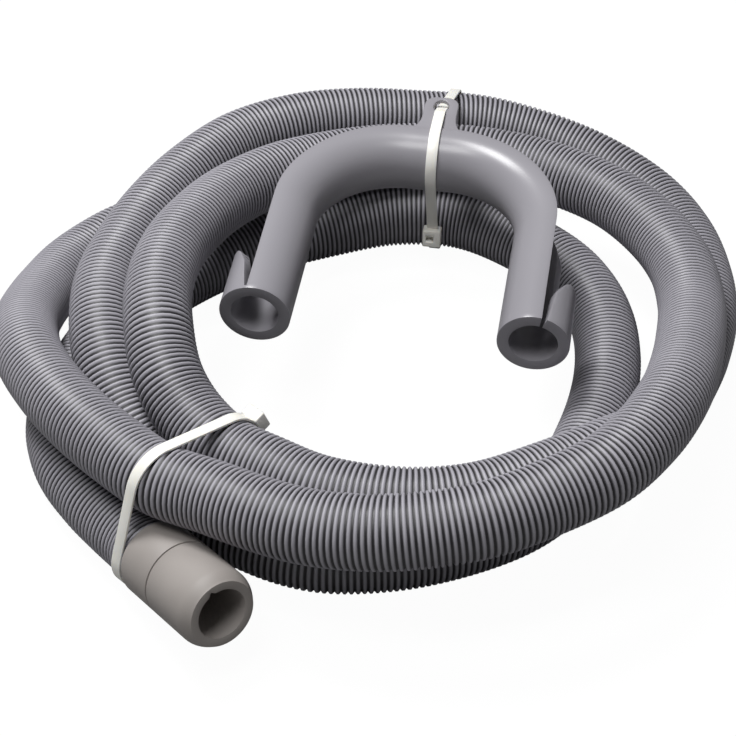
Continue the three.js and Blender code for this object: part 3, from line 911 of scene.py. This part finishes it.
@dataclass
class Studio:
    """White floor and room, soft light from above and the camera.

    The lamps are given by name, place and side in metres, and watts. The floor's paper lights the part
    from below, and the camera sees it as glow, with a shadow as strong as its shade.
    """

    LAMPS = (
        ("soft_light_above", (-0.5, 0.45, 1.6), 0.55, 25.0),
        ("soft_light_front", (-0.4, -0.5, 1.85), 0.7, 15.0),
    )

    elevation: float = 41.0
    distance: float = 806.0
    target: tuple[float, float, float] = (0.0, 0.0, 20.0)
    focal_pixels: float = 2000.0
    image_pixels: float = 736.0
    sensor: float = 36.0
    fill: float = 0.12
    paper: str = "#8c8c8c"
    shade: str = "#3c3c3c"
    glow: float = 0.97
    floor_half: float = 4.0

    def camera(self) -> None:
        """Sets the camera at the picture's viewing angle."""
        data = bpy.data.cameras.new("camera")
        data.sensor_width = self.sensor
        data.lens = self.focal_pixels / self.image_pixels * self.sensor
        made = bpy.data.objects.new("camera", data)
        up = math.radians(self.elevation)
        back = Vector((0, -math.cos(up), math.sin(up))) * self.distance
        made.location = (place(self.target) + back) * MM
        made.rotation_euler = (math.pi / 2 - up, 0, 0)
        bpy.context.scene.collection.objects.link(made)
        bpy.context.scene.camera = made

    def seen(self, tree: bpy.types.NodeTree) -> bpy.types.NodeSocket:
        """Gives 1 for rays that show the background: camera and transmission."""
        path = add_node(tree, "ShaderNodeLightPath")
        return add_node(tree, "ShaderNodeMath", {"operation": "MAXIMUM"}, {
            0: path.outputs["Is Camera Ray"], 1: path.outputs["Is Transmission Ray"]}).outputs[0]

    def world(self) -> None:
        """Fills the shade softly and shows white behind everything."""
        world = bpy.data.worlds.new("white_room")
        world.use_nodes = True
        tree = world.node_tree
        tree.nodes.clear()
        level = add_node(tree, "ShaderNodeMapRange", None,
                         {"Value": self.seen(tree), "To Min": self.fill, "To Max": 1.0})
        light = add_node(tree, "ShaderNodeBackground", None,
                         {"Color": (1, 1, 1, 1), "Strength": level.outputs[0]})
        add_node(tree, "ShaderNodeOutputWorld", None, {"Surface": light.outputs[0]})
        bpy.context.scene.world = world

    def floor(self) -> None:
        """Lays the floor, which the camera sees as white with a faint shadow."""
        body = bmesh.new()
        bmesh.ops.create_grid(body, x_segments=1, y_segments=1, size=self.floor_half)
        mesh = bpy.data.meshes.new("studio_floor")
        body.to_mesh(mesh)
        body.free()
        floor = link_mesh("studio_floor", mesh)
        made = bpy.data.materials.new("white_paper")
        made.use_nodes = True
        tree = made.node_tree
        tree.nodes.clear()
        paper = add_node(tree, "ShaderNodeBsdfDiffuse", None, {"Color": linear(self.paper)})
        shade = add_node(tree, "ShaderNodeBsdfDiffuse", None, {"Color": linear(self.shade)})
        glow = add_node(tree, "ShaderNodeEmission", None, {"Color": (1, 1, 1, 1), "Strength": self.glow})
        white = add_node(tree, "ShaderNodeAddShader", None, {0: shade.outputs[0], 1: glow.outputs[0]})
        mix = add_node(tree, "ShaderNodeMixShader", None,
                       {0: self.seen(tree), 1: paper.outputs[0], 2: white.outputs[0]})
        add_node(tree, "ShaderNodeOutputMaterial", None, {"Surface": mix.outputs[0]})
        mesh.materials.append(made)

    def lamp(self, name: str, at: tuple[float, float, float], size: float, power: float) -> None:
        """Hangs one square soft lamp that points at the middle of the part."""
        data = bpy.data.lights.new(name, "AREA")
        data.size = size
        data.energy = power
        made = bpy.data.objects.new(name, data)
        made.location = at
        made.rotation_euler = Vector(at).to_track_quat("Z", "Y").to_euler()
        bpy.context.scene.collection.objects.link(made)

    def build(self) -> None:
        """Sets the camera first, then the floor and the lights."""
        self.camera()
        self.world()
        self.floor()
        for lamp in self.LAMPS:
            self.lamp(*lamp)
        bpy.context.scene.view_settings.view_transform = "Standard"


def guide_tie(route: HoseRoute, guide: HoseGuide) -> CableTie:
    """Works out the tie that runs through the guide's tab, over the crown and round the strands behind.

    Args:
        route: the hose's line.
        guide: the guide, for the places of its hole and crown.

    Returns:
        The tie, whose strap bears on the hole's near edge.
    """
    pose, bearing = guide.pose(), 0.6
    hole = pose @ Vector((guide.tab_at, guide.lip + guide.hole_at, guide.tab_lift))
    edge_at = guide.lip + guide.hole_at - guide.hole[1] / 2 - bearing
    edge = pose @ Vector((guide.tab_at, edge_at, guide.tab_lift + guide.tab_thick / 2))
    crown = pose @ Vector((guide.tab_at, 0, 0))
    tie = CableTie("cable_tie_on_guide", "guide_cable_tie", hole, guide.turn, gap=0.25, lean=-22.0)

    def across(point: Vector) -> float:
        """Distance of a point from the hole along the tie's plane."""
        return math.copysign(math.hypot(point.x - hole.x, point.y - hole.y), point.y - hole.y)

    backs = route.crossings(Vector((hole.x, hole.y, 0)), tie.across(), TIE_REACH)
    over = [(across(crown), crown.z, guide.radius), (across(edge), edge.z, guide.tab_thick / 2)]
    tie.circles = [(x, y, HOSE_OD / 2) for x, y in backs] + over
    low, high = min(tie.circles[:len(backs)], key=lambda c: c[1]), over[0]
    rise = Vector((high[0] - low[0], high[1] - low[1]))
    facing = math.atan2(rise.y, rise.x) + math.pi / 2 - math.asin((high[2] - low[2]) / rise.length)
    tie.seat(low, math.degrees(facing), slide=-7.0)
    return tie


def bundle_tie(route: HoseRoute) -> CableTie:
    """Works out the tie that holds the strands together behind the open cuff."""
    foot = place((-66.4, -84.5, 0))
    tie = CableTie("cable_tie_on_bundle", "bundle_cable_tie", foot, -45.0, gap=0.25, lean=0.0)
    tie.circles = [(x, y, HOSE_OD / 2) for x, y in route.crossings(foot, tie.across(), TIE_REACH)]
    tie.seat(max(tie.circles), turn=22.0, slide=0.0)
    return tie


def main() -> None:
    """Builds the scene: studio, hose, cuffs, guide and ties."""
    logging.basicConfig(level=logging.INFO, format="%(message)s")
    Studio().build()
    route = HoseRoute(ROUTE)
    coil = CoiledHose(route)
    hose = coil.build()
    cuffs = [
        EndCuff("outlet_end_cuff", "outlet_cuff", place(ROUTE[-2]), place(ROUTE[-1])).build(),
        EndCuff("inlet_end_cuff", "inlet_cuff", place(ROUTE[1]), place(ROUTE[0])).build(),
    ]
    coil.declare()
    guide = HoseGuide()
    guide.build()
    guide_tie(route, guide).build()
    bundle_tie(route).build()


if __name__ == "__main__":
    main()
